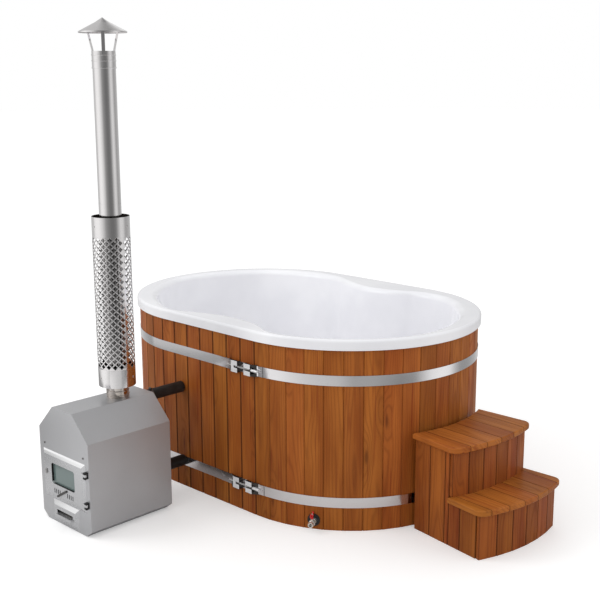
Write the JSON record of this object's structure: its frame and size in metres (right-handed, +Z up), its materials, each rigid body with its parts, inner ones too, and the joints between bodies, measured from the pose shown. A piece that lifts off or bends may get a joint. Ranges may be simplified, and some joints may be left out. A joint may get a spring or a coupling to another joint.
{
  "type": "wooden hot tub with wood-fired heater",
  "caption": "Oval stave hot tub with steel hoops, a moulded basin, an outside wood-fired heater with a guarded flue, water hoses, a drain valve and free-standing curved steps.",
  "frame": {"origin": "underside of the middle floor joist, under the centre of the tub, on the ground", "axes": "+X along the tub towards the steps, +Y away from the heater, +Z up"},
  "size_m": [2.5116, 2.1055, 2.377],
  "materials": {
    "stave_wood": "oiled thermowood",
    "step_wood": "oiled thermowood",
    "frame_wood": "sawn softwood",
    "basin_plastic": "smooth white gelcoat",
    "hoop_steel": "brushed",
    "clasp_steel": "bright zinc",
    "hose_rubber": "matt",
    "fitting_plastic": "moulded",
    "strainer_steel": "polished",
    "clamp_steel": "bright",
    "valve_nickel": "nickel plated",
    "rosette_plastic": "moulded",
    "handle_red": "gloss enamel",
    "heater_aluminium": "matt mill finish",
    "door_aluminium": "cast, matt",
    "door_glass": "clear heat-proof",
    "door_steel": "satin",
    "hinge_black": "matt black",
    "grate_iron": "raw",
    "ash_steel": "sheet",
    "flue_steel": "satin stainless",
    "guard_steel": "satin stainless, perforated"
  },
  "bodies": {
    "tub": {"basin": "basin_plastic", "basin_inlet_flanges": "fitting_plastic", "cap_sleeve": "flue_steel", "cap_struts": "flue_steel", "clasp_blocks": "clasp_steel", "clasp_lugs": "clasp_steel", "clasp_nuts": "clasp_steel", "clasp_rivets": "clasp_steel", "clasp_rods": "clasp_steel", "deck_boards": "frame_wood", "drain_rosette": "rosette_plastic", "drain_valve_body": "valve_nickel", "fire_grate": "grate_iron", "firebox": "heater_aluminium", "floor_joists": "frame_wood", "flue_collar": "flue_steel", "front_plate_screws": "door_steel", "guard_fixings": "flue_steel", "heat_guard": "guard_steel", "heater_back_plate": "heater_aluminium", "heater_casing": "heater_aluminium", "heater_front_plate": "heater_aluminium", "hinge_blocks": "hinge_black", "hinge_pins": "door_steel", "hose_clamps": "clamp_steel", "lower_flue_pipe": "flue_steel", "lower_hoop": "hoop_steel", "lower_hose": "hose_rubber", "lower_riser_boards": "step_wood", "lower_tread_planks": "step_wood", "rain_cap": "flue_steel", "seat_posts": "frame_wood", "stave_rings": "frame_wood", "staves_far_side": "stave_wood", "staves_left_end": "stave_wood", "staves_near_side": "stave_wood", "staves_step_end": "stave_wood", "step_battens": "frame_wood", "step_side_boards": "step_wood", "upper_flue_pipe": "flue_steel", "upper_hoop": "hoop_steel", "upper_hose": "hose_rubber", "upper_riser_boards": "step_wood", "upper_tread_planks": "step_wood", "wall_spigots": "fitting_plastic", "waste_pipe": "fitting_plastic", "waste_strainer": "strainer_steel"},
    "door": {"door_panel": "door_aluminium", "door_glass": "door_glass", "door_glass_frame": "door_steel", "door_hinge_leaves": "door_steel", "air_slide_rails": "door_steel"},
    "latch": {"door_latch": "door_steel"},
    "lever": {"air_lever": "door_steel"},
    "slide": {"air_slide": "door_steel"},
    "drawer": {"drawer_face": "door_aluminium", "ash_tray": "ash_steel"},
    "valve_turn": {"drain_valve_ball": "valve_nickel", "drain_handle": "handle_red"}
  },
  "joints": [
    {"name": "door_hinge", "type": "hinge", "parent": "tub", "child": "door", "pos_m": [-0.038, -1.4015, 0.2385], "axis": [0, 0, 1], "range_deg": [0, 110]},
    {"name": "latch_turn", "type": "hinge", "parent": "door", "child": "latch", "pos_m": [-0.363, -1.397, 0.252], "axis": [0, -1, 0], "range_deg": [0, 90]},
    {"name": "lever_turn", "type": "hinge", "parent": "door", "child": "lever", "pos_m": [-0.236, -1.397, 0.168], "axis": [0, 1, 0], "range_deg": [0, 62]},
    {"name": "air_slide_run", "type": "slide", "parent": "door", "child": "slide", "axis": [-1, 0, 0], "range_m": [0, 0.0075]},
    {"name": "drawer_slide", "type": "slide", "parent": "tub", "child": "drawer", "axis": [0, -1, 0], "range_m": [0, 0.36]},
    {"name": "drain_valve_turn", "type": "hinge", "parent": "tub", "child": "valve_turn", "pos_m": [0.65968, -0.61731, 0.043], "axis": [0, 0, 1], "range_deg": [0, 90]}
  ],
  "couplings": [
    {"joint": "air_slide_run", "follows": "lever_turn", "m_per_rad": 0.00693}
  ]
}
